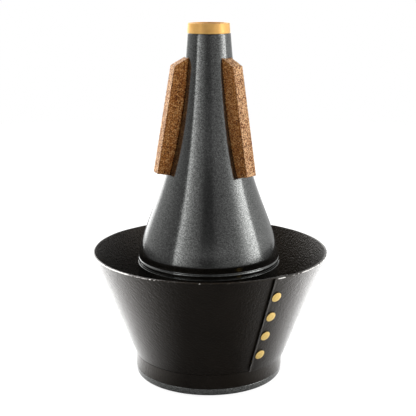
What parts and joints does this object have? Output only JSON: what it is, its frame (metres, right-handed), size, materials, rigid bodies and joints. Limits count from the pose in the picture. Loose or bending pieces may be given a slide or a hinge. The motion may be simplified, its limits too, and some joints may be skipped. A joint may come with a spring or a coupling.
{
  "type": "trumpet cup mute",
  "caption": "Hollow cone with a brass tip band and cork strips, closed by a flat end, inside a black riveted cup that slides on its base tube; it softens a trumpet's sound.",
  "frame": {"origin": "on the mute's axis, in the plane of the closed end that stands on the bench", "axes": "+Z along the axis from the closed end to the tip, -Y towards the picture's viewer, +X to the viewer's right"},
  "size_m": [0.12, 0.1191, 0.1794],
  "materials": {
    "hammertone": "glossy grey hammertone enamel with a fine dark and silver speckle, on moulded fibre",
    "black_fibre": "black lacquered fibre sheet, satin, with fine slanting streaks",
    "brass": "satin brass, rubbed upright",
    "cork": "natural cork with dark pores"
  },
  "bodies": {
    "mute_body": {"body_cone": "hammertone", "tip_ferrule": "brass", "cork_right": "cork", "cork_left": "cork", "cork_rear": "cork", "joint_ring": "hammertone", "base_tube": "hammertone", "base_cap": "hammertone"},
    "cup": {"cup_wall": "black_fibre", "cup_collar": "black_fibre", "seam_rivets": "brass", "rivet_washers": "brass"}
  },
  "joints": [
    {"name": "cup_slide", "type": "slide", "parent": "mute_body", "child": "cup", "axis": [0, 0, 1], "range_m": [0, 0.18]}
  ]
}
